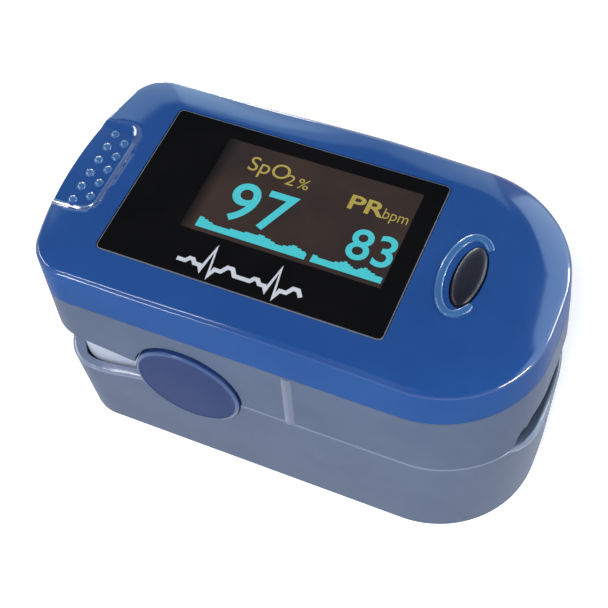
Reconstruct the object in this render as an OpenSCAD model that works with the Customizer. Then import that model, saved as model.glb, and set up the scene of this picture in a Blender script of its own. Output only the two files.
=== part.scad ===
// Fingertip pulse oximeter: a sprung clip of two hinged halves, with a display, a power
// button, two finger pads with an optical sensor, and two AAA cells behind a sliding door.
// Frame: origin at the centre of the footprint, +X to the finger opening, +Z up.

/* [Body] */
// Overall length, grip end to finger end
body_l = 59.2; // [58.8:0.2:60]
// Overall width across the side walls
body_w = 30.6; // [30.4:0.2:31.4]
// Overall height, without the button's crown
body_h = 32.6; // [32.4:0.1:33]
// Height of the parting line between the two halves
parting_z = 16.7; // [16.6:0.05:16.9]
// Height where the top cover meets the upper housing
cover_z = 26.35; // [26.2:0.05:26.6]
// Thickness of the moulded walls
wall = 1.3; // [1.2:0.05:1.4]
// Corner radius at the finger end, in plan
finger_end_r = 12.5; // [11.5:0.5:13]
// Corner radius at the grip end, in plan
grip_end_r = 4.8; // [4.4:0.2:5.2]

/* [Display] */
// Length of the display window
window_l = 33.4; // [32.8:0.2:34]
// Width of the display window
window_w = 21.4; // [21:0.2:22]
// Thickness of the display window
window_t = 0.8; // [0.7:0.05:0.9]

/* [Button] */
// Length of the oval power button
button_l = 8; // [7.6:0.2:8.4]
// Width of the oval power button
button_w = 3.1; // [2.9:0.1:3.3]
// Travel of the power button
button_travel = 0.4; // [0.3:0.05:0.4]

/* [Hinge] */
// Distance of the hinge axis from the middle, towards the grip end
hinge_back = 9.1; // [8.8:0.1:9.4]
// Radius of a hinge pin
pin_r = 1; // [0.9:0.05:1.1]
// Radius of a round hinge cap
cap_r = 6.55; // [6.3:0.05:6.7]

/* [Cells] */
// Diameter of an AAA cell
cell_d = 10.5; // [10.3:0.1:10.5]
// Length of an AAA cell
cell_l = 44.5; // [44:0.1:44.5]

/* [Hidden] */
$fn = 48;
eps = 0.01;
far = 100; // reaches past the whole body

// Colours
cover_blue = [0.1, 0.25, 0.58];
housing_grey = [0.42, 0.46, 0.55];
frame_grey = [0.62, 0.64, 0.7];
rubber_dark = [0.1, 0.1, 0.12];
steel = [0.75, 0.75, 0.78];

// Heights of the upper half
grip_edge_z = 19.5; // lower edge of the upper housing at the grip end
parting_gap = 0.2;
upper_z = parting_z + parting_gap;
cover_t = 1.3; // top plate of the cover
plate_z = body_h - cover_t;
deck_z = 23.6; // underside of the upper frame's deck
deck_t = 1;
deck_top = deck_z + deck_t;
board_z = 28.2; // underside of the main board
board_t = 1;
board_top = board_z + board_t;

// Heights of the lower half
floor_t = 1.4;
low_deck_z = 12.6; // underside of the lower frame's deck
low_deck_top = low_deck_z + 1;
bottom_fillet = 0.7;
grip_rim_z = 13.1; // rim of the lower housing at the grip end

// Hinge: each pin runs through an inner lug, a spring, an ear and an outer lug
hinge_x = -hinge_back;
hinge_z = parting_z + 0.5;
ear_r = 2.8;
ear_y = 10.1;
ear_t = 1.6;
lug_r = 3;
pin_in = 6.4; // inner and outer ends of a pin, from the middle
pin_out = 12.95;
cap_gap = 0.25;

// Cells
cell_y = 5.4;
cell_z = cell_d / 2 + 1.65;
bay_x0 = -22.7; // inner faces of the cell bay's end walls
bay_x1 = 24;
contact_t = 0.3;

// Optical axis of the sensor, along the finger
sensor_x = 12;

// Plan outline of the whole body: w is the half width, xl and xr are the ends, rl and rr
// are the corner radii. Each end is a shallow arc that the corner arcs meet in tangency.
grip_bow_r = 45;
finger_bow_r = 75;
function arc(cx, cy, r, a0, a1, n) =
    [for (i = [0:n]) let (a = a0 + (a1 - a0) * i / n) [cx + r * cos(a), cy + r * sin(a)]];
function bow_angle(w, r, bow) = asin((w - r) / (bow - r));
function outline(w, xl, xr, rl, rr) =
    let (
        al = bow_angle(w, rl, grip_bow_r),
        ar = bow_angle(w, rr, finger_bow_r),
        cl = xl + grip_bow_r - (grip_bow_r - rl) * cos(al),
        cr = xr - finger_bow_r + (finger_bow_r - rr) * cos(ar)
    )
    concat(
        arc(cr, -(w - rr), rr, -90, -ar, 14),
        arc(xr - finger_bow_r, 0, finger_bow_r, -ar / 2, ar / 2, 2),
        arc(cr, w - rr, rr, ar, 90, 14),
        arc(cl, w - rl, rl, 90, 180 - al, 7),
        arc(xl + grip_bow_r, 0, grip_bow_r, 180 - al / 2, 180 + al / 2, 4),
        arc(cl, -(w - rl), rl, 180 + al, 270, 7)
    );

// Drafted outer surfaces of the two halves, inset by d at height z
upper_side_draft = 0.02; // inward lean per millimetre of height
upper_finger_draft = 0.09;
upper_grip_draft = 0.105;
function upper_outline(z, d) = outline(
    body_w / 2 - upper_side_draft * (z - parting_z) - d,
    -body_l / 2 + upper_grip_draft * (z - grip_edge_z) + d,
    body_l / 2 - upper_finger_draft * (z - parting_z) - d,
    max(grip_end_r - d, 1),
    finger_end_r - d
);
lower_side_draft = 0.06;
lower_grip_draft = 0.05;
grip_step = 0.95; // the lower half's end stands in from the upper half's by this much
function lower_outline(z, d) = outline(
    body_w / 2 - lower_side_draft * (parting_z - z) - d,
    -body_l / 2 + grip_step + lower_grip_draft * (parting_z - z) + d,
    body_l / 2 - d,
    max(grip_end_r - d, 1),
    finger_end_r - d
);
function lift(points, z) = [for (p = points) [p[0], p[1], z]];

// A closed solid through a stack of rings of equal count; closed = true joins the last
// ring to the first, as in a band, and false caps both ends
module skin(rings, closed = false) {
    n = len(rings[0]);
    m = len(rings);
    points = [for (r = rings) each r];
    spans = closed ? m : m - 1;
    sides = [
        for (i = [0:spans - 1], k = [0:n - 1])
            let (j = (i + 1) % m, l = (k + 1) % n)
            each [[i * n + k, j * n + k, j * n + l], [i * n + k, j * n + l, i * n + l]]
    ];
    caps = closed ? [] : [
        [for (k = [0:n - 1]) k],
        [for (k = [n - 1:-1:0]) (m - 1) * n + k]
    ];
    polyhedron(points, concat(caps, sides), convexity = 8);
}

// A wire of radius r swept along points, with steps sides
module wire(path, r, sides = 8) {
    n = len(path);
    rings = [
        for (i = [0:n - 1])
            let (
                a = path[max(i - 1, 0)],
                b = path[min(i + 1, n - 1)],
                t = (b - a) / norm(b - a),
                u0 = abs(t[1]) < 0.9 ? cross(t, [0, 1, 0]) : cross(t, [1, 0, 0]),
                u = u0 / norm(u0),
                v = cross(t, u)
            )
            [
                for (k = [0:sides - 1])
                    let (w = 360 * k / sides)
                    path[i] + r * (cos(w) * u - sin(w) * v)
            ]
    ];
    skin(rings);
}

module ellipse_plate(rx, ry, z0, z1) {
    translate([0, 0, z0])
        linear_extrude(z1 - z0)
            polygon([for (a = [0:10:350]) [rx * cos(a), ry * sin(a)]]);
}

module rounded_plate(l, w, r, z0, z1) {
    translate([0, 0, z0])
        linear_extrude(z1 - z0)
            polygon([
                for (c = [[1, 1, 0], [-1, 1, 90], [-1, -1, 180], [1, -1, 270]])
                    each arc(c[0] * (l / 2 - r), c[1] * (w / 2 - r), r, c[2], c[2] + 90, 4)
            ]);
}

module y_cylinder(x, y0, y1, z, r) {
    translate([x, y0, z]) rotate([-90, 0, 0]) cylinder(r = r, h = y1 - y0);
}

// Mirrors its children to the rear side as well
module both_sides() {
    children();
    mirror([0, 1, 0]) children();
}

// A pan-head screw that points up from z, or down when turned over
module screw(head_r, head_h, shank_r, length) {
    cylinder(r = head_r, h = head_h);
    cylinder(r = shank_r, h = length);
}

// ---- upper half ----

window_x = -3.8;
window_gap = 0.06;
window_ledge = 1;
window_corner = 1;
button_x = 18.5;
button_gap = 0.15;
button_crown = 0.5; // how far the button stands over the cover
ring_x = 18.2; // the raised C round the button
ring_rx = 2.8;
ring_ry = 5.45;
ring_band = 0.95;
ring_h = 0.3;
ring_open = 40; // half angle of the C's gap
dot_r = 0.5;
dot_pitch = 2.05;
dot_x = -26.4; // outer column of grip dots
dot_column = 1.75;
scoop_x = -22.7;
scoop_w = 13.6;
scoop_depth = 0.62;
scoop_slope = 4;
boss_r = 1.9;
boss_bore_r = 0.75;
boss_places = [[-22.6, 9.5], [-22.6, -9.5], [21, 8.4], [21, -8.4]];

// Crowned top of the cover: its side edge falls away towards both ends, a chamfered band
// runs along that edge, and the surface rises from the band to the flat round the window
edge_peak_z = 31.95;
edge_peak_x = 3;
grip_fall = 0.45; // fall of the edge towards the grip end, complete after grip_fall_l
grip_fall_l = 18;
finger_fall = 1.45; // fall of the edge towards the finger end
finger_fall_l = 25.4;
finger_fall_power = 1.6;
band_rise = 0.38;
band_narrow = 0.36; // width of the band at the grip end
band_growth = 0.26; // how much wider it gets by the middle
band_growth_x = -22;
band_growth_l = 27;
edge_skin = 0.9; // drop from the edge to the ceiling inside the wall
function ease(t) = let (c = min(1, max(0, t))) c * c * (3 - 2 * c);
function between(a, b, t) = a + (b - a) * t;
function edge_z(x) =
    x < edge_peak_x
    ? edge_peak_z - grip_fall * ease((edge_peak_x - x) / grip_fall_l)
    : edge_peak_z - finger_fall * pow((x - edge_peak_x) / finger_fall_l, finger_fall_power);
function band_w(x) = band_narrow + band_growth * ease((x - band_growth_x) / band_growth_l);
function at_edge(points, dz) = [for (p = points) [p[0], p[1], edge_z(p[0]) + dz]];
function flat_ring(z) = lift(outline(10.85, -21.9, 21.3, 1, 6.5), z);
function band_ring() =
    let (a = at_edge(upper_outline(edge_peak_z, 0), band_rise),
        b = at_edge(upper_outline(edge_peak_z, 1), band_rise))
    [for (i = [0:len(a) - 1]) between(a[i], b[i], band_w(a[i][0]))];
function crown_ring(t) =
    let (a = band_ring(), b = flat_ring(body_h))
    [
        for (i = [0:len(a) - 1])
            let (p = between(a[i], b[i], t))
            [p[0], p[1], body_h - (body_h - a[i][2]) * pow(1 - t, 2)]
    ];

function ring_arc(d, a0, a1, n) = [
    for (i = [0:n])
        let (a = a0 + (a1 - a0) * i / n)
        [(ring_rx - d) * cos(a), (ring_ry - d) * sin(a)]
];

module button_ring() {
    translate([ring_x, 0, body_h - eps])
        linear_extrude(ring_h)
            polygon(concat(
                ring_arc(0, ring_open, 360 - ring_open, 28),
                ring_arc(ring_band, 360 - ring_open, ring_open, 28)
            ));
}

module grip_scoop() {
    translate([scoop_x, 0, body_h - scoop_depth])
        rotate([0, -scoop_slope, 0])
            translate([-12, 0, 0]) rounded_plate(24, scoop_w, 2.5, 0, 5);
}

function scoop_floor(x) = body_h - scoop_depth - (scoop_x - x) * tan(scoop_slope);

module grip_dots() {
    for (k = [0:5])
        translate([dot_x, (k - 2.5) * dot_pitch, scoop_floor(dot_x) - 0.1]) sphere(r = dot_r);
    for (k = [0:4])
        translate([dot_x + dot_column, (k - 2) * dot_pitch, scoop_floor(dot_x + dot_column) - 0.1])
            sphere(r = dot_r);
}

module top_cover() {
    color(cover_blue) {
        difference() {
            union() {
                skin([
                    flat_ring(plate_z),
                    at_edge(upper_outline(edge_peak_z, wall), -edge_skin),
                    lift(upper_outline(cover_z, wall), cover_z),
                    lift(upper_outline(cover_z, 0), cover_z),
                    at_edge(upper_outline(edge_peak_z, 0), 0),
                    for (t = [0:0.2:0.8]) crown_ring(t),
                    flat_ring(body_h)
                ]);
                for (p = boss_places)
                    translate([p[0], p[1], deck_top]) cylinder(r = boss_r, h = plate_z - deck_top);
                button_ring();
            }
            translate([window_x, 0, 0]) {
                rounded_plate(window_l + 2 * window_gap, window_w + 2 * window_gap, window_corner,
                    body_h - window_t, body_h + 2);
                rounded_plate(window_l - 2 * window_ledge, window_w - 2 * window_ledge,
                    window_corner, plate_z - 2, body_h);
            }
            translate([button_x, 0, 0])
                ellipse_plate(button_w / 2 + button_gap, button_l / 2 + button_gap,
                    plate_z - 2, body_h + 2);
            translate([button_x, 0, 0])
                ellipse_plate(button_w / 2 + 1, button_l / 2 + 1, plate_z - 2, plate_z);
            translate([window_x, 0, 0])
                rounded_plate(window_l - 2, window_w - 2, window_corner, plate_z - 2, plate_z);
            grip_scoop();
            for (p = boss_places)
                translate([p[0], p[1], deck_top - 1]) cylinder(r = boss_bore_r, h = 5.4);
        }
        grip_dots();
    }
}

module display_window() {
    color([0.02, 0.02, 0.03, 0.9])
        translate([window_x, 0, 0])
            rounded_plate(window_l, window_w, window_corner, body_h - window_t + 0.02, body_h - 0.05);
}

oled_x = -2;
oled_l = 26.8;
oled_w = 19;
oled_t = 1.2;
oled_z = body_h - window_t - 0.2 - oled_t; // its front lies just under the window

module oled_panel() {
    color([0.12, 0.1, 0.12]) {
        translate([oled_x - oled_l / 2, -oled_w / 2, oled_z]) cube([oled_l, oled_w, 0.7]);
        translate([oled_x - oled_l / 2, -5.2, oled_z + 0.7 - eps]) cube([oled_l, 14.5, oled_t - 0.7]);
    }
}

module display_carrier() {
    color([0.9, 0.9, 0.9])
        difference() {
            translate([oled_x - 12.5, -8, board_top]) cube([25, 16, oled_z - board_top]);
            translate([oled_x - 10.5, -6, board_top - 1]) cube([21, 12, 3]);
        }
}

board_screw_places = [[-18.2, 9.6], [-18.2, -9.6], [14.5, 9.8], [14.5, -9.8]];

module main_board() {
    color([0.05, 0.35, 0.2])
        difference() {
            union() {
                translate([-20.4, -11.8, board_z]) cube([37.4, 23.6, board_t]);
                translate([16.9, -6, board_z]) cube([7.8, 12, board_t]);
            }
            for (p = board_screw_places)
                translate([p[0], p[1], board_z - 1]) cylinder(r = 0.9, h = 3);
        }
}

// Each chip: middle x, middle y, length, width, height, all on the underside of the board
chips = [
    [6, 2, 7, 7, 1.1], [-2.5, -5, 5, 4, 1], [-11, 5.5, 4.5, 3.2, 0.9], [13, -4, 3.2, 2.5, 1.4],
    [-6.6, 0, 1.2, 6.6, 1], [-12, -6, 2, 1.2, 0.8], [1.5, 8, 2, 1.2, 0.8], [11, 6, 2, 1.2, 0.8],
    [20, 3, 2.8, 2, 1]
];

module board_chips() {
    color([0.08, 0.08, 0.08])
        for (c = chips)
            translate([c[0] - c[2] / 2, c[1] - c[3] / 2, board_z - c[4]]) cube([c[2], c[3], c[4]]);
}

module board_screws() {
    color(steel)
        for (p = board_screw_places)
            translate([p[0], p[1], board_top + 0.8]) rotate([180, 0, 0]) screw(1.4, 0.8, 0.65, 4.4);
}

switch_top = board_top + 1.1;
plunger_r = 0.85;
plunger_z = board_top + 0.7; // foot of the plunger at rest

module tact_switch() {
    color([0.2, 0.2, 0.22])
        difference() {
            translate([button_x - 1.8, -1.8, board_top]) cube([3.6, 3.6, switch_top - board_top]);
            translate([button_x, 0, plunger_z - button_travel - 0.05])
                cylinder(r = plunger_r + 0.08, h = 3);
        }
}

flange_z = plate_z - 0.45; // underside of the button's flange

module switch_plunger() {
    color([0.85, 0.83, 0.78])
        translate([button_x, 0, plunger_z]) cylinder(r = plunger_r, h = flange_z - 0.05 - plunger_z);
}

module power_button() {
    dome_z = body_h + button_crown;
    color(rubber_dark)
        translate([button_x, 0, 0]) {
            ellipse_plate(button_w / 2 + 0.7, button_l / 2 + 0.7, flange_z, plate_z - 0.05);
            skin([
                for (s = [
                    [0, flange_z + 0.1], [0, dome_z - 0.45], [0.15, dome_z - 0.18], [0.45, dome_z]
                ])
                    [
                        for (a = [0:10:350])
                            [(button_w / 2 - s[0]) * cos(a), (button_l / 2 - s[0]) * sin(a), s[1]]
                    ]
            ]);
        }
}

lip_top = cover_z + 1.2;
ledge_z = deck_top;
arch_half = 10; // half width and height of the finger opening above the parting line
arch_h = 4.7;
arch_power = 0.8; // under 1 squares the arch's shoulders
mouth_half = 10.5; // half width of the opening in the lower half
rib_x = 3.5;

// Side-view outline of what is taken off below the upper housing at the grip end
module grip_relief() {
    translate([0, far / 2, 0])
        rotate([90, 0, 0])
            linear_extrude(far)
                polygon([
                    [-far, upper_z - 5], [hinge_x, upper_z - 5], [hinge_x, 18.4], [-15.9, 18.4],
                    [-18, 18.7], [-22, grip_edge_z], [-far, grip_edge_z]
                ]);
}

module finger_arch() {
    translate([0, 0, parting_z])
        rotate([90, 0, 90])
            linear_extrude(far)
                polygon([
                    for (a = [0:7.5:180])
                        [
                            arch_half * sign(cos(a)) * pow(abs(cos(a)), arch_power),
                            arch_h * pow(sin(a), arch_power)
                        ],
                    [-arch_half, -1],
                    [arch_half, -1]
                ]);
}

module upper_housing() {
    lip_in = wall + 0.1;
    color(housing_grey) {
        difference() {
            skin([
                lift(upper_outline(upper_z, 0), upper_z),
                lift(upper_outline(cover_z, 0), cover_z - 0.02),
                lift(upper_outline(cover_z, lip_in), cover_z - 0.02),
                lift(upper_outline(lip_top, lip_in), lip_top),
                lift(upper_outline(lip_top, lip_in + 0.7), lip_top),
                lift(upper_outline(cover_z, lip_in + 0.7), ledge_z + 1),
                lift(upper_outline(ledge_z, wall + 1.1), ledge_z + 1),
                lift(upper_outline(ledge_z, wall + 1.1), ledge_z),
                lift(upper_outline(ledge_z, wall), ledge_z),
                lift(upper_outline(upper_z, wall), upper_z)
            ], closed = true);
            grip_relief();
            finger_arch();
            y_cylinder(hinge_x, -far / 2, far / 2, hinge_z, cap_r + cap_gap);
        }
        both_sides()
            translate([rib_x, body_w / 2 - 0.35, upper_z])
                cylinder(r = 0.7, h = cover_z - upper_z - 0.1);
    }
}

skirt_in = 1.75; // the skirt stands in from the upper housing's face
skirt_t = 0.9;
skirt_z = 12;
skirt_x = -13.9; // the skirt ends here, short of the hinge
skirt_end_in = 2.6;
function skirt_outline(d) = outline(
    body_w / 2 - skirt_in - d, -body_l / 2 + skirt_end_in + d, 20, 3.2 - d, 4
);

channel_x = -3.2; // blind end of the finger channel
channel_wall_y = 10.4;

module upper_frame() {
    color(frame_grey)
        difference() {
            union() {
                // deck
                skin([
                    lift(upper_outline(deck_z, wall + 0.12), deck_z),
                    lift(upper_outline(deck_top, wall + 0.12), deck_top - 0.02)
                ]);
                // skirt round the grip end
                difference() {
                    skin([
                        lift(skirt_outline(0), skirt_z),
                        lift(skirt_outline(0), deck_z + 0.2),
                        lift(skirt_outline(skirt_t), deck_z + 0.2),
                        lift(skirt_outline(skirt_t), skirt_z)
                    ], closed = true);
                    translate([skirt_x, -far / 2, 0]) cube([far, far, far]);
                }
                // side walls and blind end of the finger channel
                both_sides()
                    translate([channel_x - 1, channel_wall_y, upper_z + 0.3])
                        cube([24, 1, deck_z - upper_z]);
                translate([channel_x - 1, -channel_wall_y - 0.5, upper_z + 0.3])
                    cube([1, 2 * channel_wall_y + 1, deck_z - upper_z]);
                // hinge ears
                both_sides() {
                    translate([hinge_x - ear_r, ear_y, hinge_z])
                        cube([2 * ear_r, ear_t, deck_z - hinge_z + 0.2]);
                    y_cylinder(hinge_x, ear_y, ear_y + ear_t, hinge_z, ear_r);
                }
                // posts under the main board
                for (p = board_screw_places)
                    translate([p[0], p[1], deck_top - 0.1])
                        cylinder(r = 1.6, h = board_z - deck_top + 0.1 - 0.02);
            }
            both_sides() y_cylinder(hinge_x, 9, 12.5, hinge_z, pin_r + 0.05);
            for (p = board_screw_places)
                translate([p[0], p[1], deck_top - 0.5]) cylinder(r = 0.68, h = 6);
            for (p = boss_places)
                translate([p[0], p[1], deck_z - 1]) cylinder(r = 0.95, h = 3);
            // slots for the flex cable and for the photodiode's leads
            translate([-7, -3.6, deck_z - 1]) cube([1.9, 7.2, 3]);
            translate([sensor_x - 1.5, -1.5, deck_z - 1]) cube([3, 3, 3]);
        }
}

pad_x1 = 27.6; // mouth end of both pads
pad_half = 10.2;

module pad_plan(z, h, inset) {
    intersection() {
        translate([channel_x + 0.15, -pad_half, z]) cube([pad_x1 - channel_x, 2 * pad_half, h]);
        translate([0, 0, z - 1])
            linear_extrude(h + 2)
                polygon(outline(body_w / 2 - inset, -28, pad_x1, 4, finger_end_r - inset));
    }
}

upper_pad_arch = 20.8; // crown of the upper pad's hollow
upper_pad_edge = 18;
function bow_radius(half, sag) = (half * half + sag * sag) / (2 * sag);

module upper_finger_pad() {
    r = bow_radius(pad_half - 0.4, upper_pad_arch - upper_pad_edge);
    color(rubber_dark)
        difference() {
            pad_plan(upper_pad_edge, deck_z - upper_pad_edge - 0.02, 2);
            translate([-far / 2, 0, upper_pad_arch - r]) rotate([0, 90, 0]) cylinder(r = r, h = far);
            translate([sensor_x, 0, 10]) cylinder(r = 3.2, h = 20);
            for (p = boss_places)
                translate([p[0], p[1], deck_z - 1.2]) cylinder(r = 1.8, h = 3);
        }
}

module photodiode() {
    color([0.15, 0.15, 0.2]) {
        translate([sensor_x - 2, -2, deck_z - 1.62]) cube([4, 4, 1.6]);
        translate([sensor_x - 1.2, -1.2, deck_z - 0.1]) cube([2.4, 2.4, 1.6]);
    }
}

module photodiode_window() {
    color([0.8, 0.2, 0.15, 0.5])
        translate([sensor_x, 0, deck_z - 2.4]) cylinder(r = 3.1, h = 0.75);
}

module cover_screws() {
    color(steel)
        for (p = boss_places)
            translate([p[0], p[1], deck_z - 0.92]) screw(1.5, 0.9, 0.7, 5.9);
}

// ---- parts at the joint ----

// Route of the flex cable in side view: board, hinge gap, valley between the cells, LED
flex_w = 3;
flex_t = 0.2;
flex_route = [
    [-6.2, 27], [-6.1, 23], [-5.9, 19], [-5.8, 15], [-5.5, 13], [-4.5, 12.2], [0, 12.15],
    [sensor_x, 12.15]
];

module flex_cable() {
    n = len(flex_route);
    color([0.75, 0.5, 0.15])
        for (i = [0:n - 2])
            let (
                a = flex_route[i],
                b = flex_route[i + 1],
                t = (b - a) / norm(b - a) * flex_t / 2,
                m = [-t[1], t[0]]
            )
            translate([0, flex_w / 2, 0])
                rotate([90, 0, 0])
                    linear_extrude(flex_w)
                        polygon([a + m - t, a - m - t, b - m + t, b + m + t]);
}

spring_wire_r = 0.3;
spring_coil_r = 1.75;
spring_turns = 2;
spring_y = 7.9; // inner end of a coil
spring_pitch = 0.66;
upper_leg = [30, 9]; // angle and length of each leg
lower_leg = [15, 5.4];

function torsion_path() =
    let (
        a0 = 90 - upper_leg[0],
        a1 = lower_leg[0] - 90 - 360 * spring_turns,
        n = 48,
        coil = [
            for (i = [0:n])
                let (a = a0 + (a1 - a0) * i / n)
                [
                    hinge_x + spring_coil_r * cos(a),
                    spring_y + spring_pitch * (a0 - a) / 360,
                    hinge_z + spring_coil_r * sin(a)
                ]
        ]
    )
    concat(
        [coil[0] + upper_leg[1] * [-cos(upper_leg[0]), 0, sin(upper_leg[0])]],
        coil,
        [coil[n] - lower_leg[1] * [cos(lower_leg[0]), 0, sin(lower_leg[0])]]
    );

module torsion_springs() {
    color(steel) both_sides() wire(torsion_path(), spring_wire_r);
}

module hinge_pins() {
    color(steel) both_sides() y_cylinder(hinge_x, pin_in, pin_out, hinge_z, pin_r);
}

cap_in = body_w / 2 - wall + 0.1;
cap_out = body_w / 2 + 0.5;
cap_spigot_r = 1.75;
cap_spigot_h = 1.1;

// A round cap, turned: a disc with a softened rim and a spigot behind it
module hinge_cap() {
    h = cap_out - cap_in;
    translate([hinge_x, cap_in, hinge_z])
        rotate([-90, 0, 0])
            rotate_extrude()
                polygon([
                    [0, -cap_spigot_h], [cap_spigot_r, -cap_spigot_h], [cap_spigot_r, 0], [cap_r, 0],
                    [cap_r, h - 0.5], [cap_r - 0.13, h - 0.2], [cap_r - 0.45, h], [0, h]
                ]);
}

module hinge_cap_front() {
    color(cover_blue) mirror([0, 1, 0]) hinge_cap();
}

module hinge_cap_rear() {
    color(cover_blue) hinge_cap();
}

// ---- lower half ----

door_x1 = 21.6;
door_half = 11.45;
door_tongue = 0.6; // width of the tongue along each edge
tongue_z = 0.7;
door_z = 0.1;
door_top = 1.35;
door_gap = 0.15;
rim_z = parting_z - 0.05;
dip_z = 12.55; // lowest point of the mouth's lip
sill_x = 25.95; // the sill slopes from here down to the lip
frame_screw_places = [[26.95, 3.5], [26.95, -3.5]];
frame_screw_z = 8.6; // underside of a frame screw's head, deep in its boss

// What is taken off above the lower housing at the grip end, in side view
module grip_rim() {
    translate([0, far / 2, 0])
        rotate([90, 0, 0])
            linear_extrude(far)
                polygon([
                    [-far, grip_rim_z], [-22, grip_rim_z], [-17, 14.6], [-15, 15.1],
                    [-14, rim_z - 0.1], [hinge_x, rim_z - 0.1], [hinge_x, parting_z + 5],
                    [-far, parting_z + 5]
                ]);
}

// A thin lip that closes the parting line, forward of the hinge
module rim_seal() {
    top = rim_z + 0.8;
    foot = rim_z - 1.5;
    difference() {
        skin([
            lift(lower_outline(rim_z, wall - 0.1), foot),
            lift(lower_outline(rim_z, wall - 0.1), rim_z - 0.02),
            lift(lower_outline(rim_z, wall + 0.1), rim_z - 0.02),
            lift(lower_outline(rim_z, wall + 0.1), top),
            lift(lower_outline(rim_z, wall + 0.6), top),
            lift(lower_outline(rim_z, wall + 0.6), foot)
        ], closed = true);
        translate([hinge_x - far + 5, -far / 2, 0]) cube([far, far, far]);
    }
}

module door_way(half, z) {
    translate([-far, -half, z]) cube([far + door_x1 + 0.15, 2 * half, 2]);
}

// The space of the mouth above its lip and its sill, flaring outwards
module mouth_space() {
    lip_r = bow_radius(mouth_half, parting_z - dip_z);
    rest_r = bow_radius(pad_half - 0.4, low_pad_edge - low_pad_dip);
    hull() {
        translate([body_l / 2 - wall, 0, dip_z + lip_r])
            rotate([0, 90, 0]) cylinder(r = lip_r, h = 4, $fn = 128);
        translate([sill_x - 0.3, 0, low_pad_dip + 0.1 + rest_r])
            rotate([0, 90, 0]) cylinder(r = rest_r, h = 0.3, $fn = 128);
    }
}

module lower_housing() {
    color(housing_grey)
        difference() {
            union() {
                skin([
                    for (a = [0, 30, 60, 90])
                        lift(
                            lower_outline(bottom_fillet * (1 - cos(a)), bottom_fillet * (1 - sin(a))),
                            bottom_fillet * (1 - cos(a))
                        ),
                    lift(lower_outline(rim_z, 0), rim_z),
                    lift(lower_outline(rim_z, wall), rim_z),
                    lift(lower_outline(floor_t, wall), floor_t)
                ]);
                rim_seal();
                for (p = frame_screw_places)
                    translate([p[0], p[1], floor_t - 0.1])
                        cylinder(r = 2.1, h = low_deck_z - floor_t + 0.08);
            }
            for (p = frame_screw_places)
                translate([p[0], p[1], -1]) {
                    cylinder(r = 1.4, h = frame_screw_z + 1.8 + 0.02);
                    cylinder(r = 0.75, h = 15);
                }
            door_way(door_half + door_gap, -0.5);
            door_way(door_half + door_tongue + door_gap, tongue_z - 0.1);
            grip_rim();
            mouth_space();
            both_sides() y_cylinder(hinge_x, cap_in - 1, far, hinge_z, cap_r + 0.05);
        }
}

lug_in_y = 6.4;
lug_in_t = 1.1;
lug_out_y = 12;
lug_out_t = 1.85;
bay_wall = 0.8;

module lug(y, t) {
    translate([hinge_x - lug_r, y, low_deck_top - 0.1])
        cube([2 * lug_r, t, hinge_z - low_deck_top + 0.1]);
    y_cylinder(hinge_x, y, y + t, hinge_z, lug_r);
}

// Plan limits of the lower frame: inside the shell, and clear of the skirt's sweep
module frame_limits(z) {
    translate([0, 0, z])
        linear_extrude(low_deck_top - z)
            intersection() {
                polygon(lower_outline(z, wall + 0.15));
                union() {
                    polygon(outline(12.25, -body_l / 2 + skirt_end_in + skirt_t + 1.2, 20, 3, 2));
                    translate([-13, -far / 2]) square([far, far]);
                }
            }
}

module bay_walls() {
    foot = door_top + 0.25;
    height = low_deck_z + 0.1 - foot;
    length = bay_x1 - bay_x0 + 2 * bay_wall;
    half = cell_y + cell_d / 2 + 0.25;
    both_sides() translate([bay_x0 - bay_wall, half, foot]) cube([length, bay_wall, height]);
    for (x = [bay_x0 - bay_wall, bay_x1])
        translate([x, -half - 0.05, foot]) cube([bay_wall, 2 * half + 0.1, height]);
}

module lower_frame() {
    color(frame_grey)
        difference() {
            union() {
                difference() {
                    frame_limits(low_deck_z);
                    translate([-far + bay_x0 - bay_wall, -far / 2, 0]) cube([far, far, far]);
                }
                intersection() {
                    bay_walls();
                    frame_limits(door_top);
                }
                // sill of the mouth
                translate([0, 0, low_deck_top - 0.1])
                    linear_extrude(3)
                        intersection() {
                            polygon(lower_outline(low_deck_top, wall + 0.65));
                            translate([sill_x, -pad_half + 0.6]) square([5, 2 * pad_half - 1.2]);
                        }
                both_sides() {
                    lug(lug_in_y, lug_in_t);
                    lug(lug_out_y, lug_out_t);
                }
            }
            both_sides() {
                y_cylinder(hinge_x, 4, pin_out + 0.02, hinge_z, pin_r + 0.01);
                y_cylinder(hinge_x, cap_in - cap_spigot_h - 0.02, far, hinge_z, cap_spigot_r + 0.02);
            }
            mouth_space();
            for (p = frame_screw_places)
                translate([p[0], p[1], low_deck_z - 1]) cylinder(r = 0.72, h = 2.1);
            translate([-6.6, -1.8, low_deck_z - 1]) cube([2, 3.6, 3]);
            translate([sensor_x - 2.1, -2.1, low_deck_z - 1]) cube([4.2, 4.2, 3]);
        }
}

low_pad_edge = 16.5;
low_pad_dip = 14.7;

module lower_finger_pad() {
    r = bow_radius(pad_half - 0.4, low_pad_edge - low_pad_dip);
    color(rubber_dark)
        difference() {
            intersection() {
                pad_plan(low_deck_top + 0.02, low_pad_edge - low_deck_top, 1.7);
                translate([-far, -far / 2, 0]) cube([far + sill_x - 0.05, far, far]);
            }
            translate([-far / 2, 0, low_pad_dip + r])
                rotate([0, 90, 0]) cylinder(r = r, h = far, $fn = 180);
            translate([sensor_x, 0, 10]) cylinder(r = 3.2, h = 20);
        }
}

module led_emitter() {
    color([0.9, 0.9, 0.85])
        translate([sensor_x - 2, -2, low_deck_z - 0.3]) cube([4, 4, 1.5]);
}

module led_window() {
    color([0.8, 0.2, 0.15, 0.5])
        translate([sensor_x, 0, low_deck_top + 0.25]) cylinder(r = 3.1, h = 0.75);
}

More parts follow.
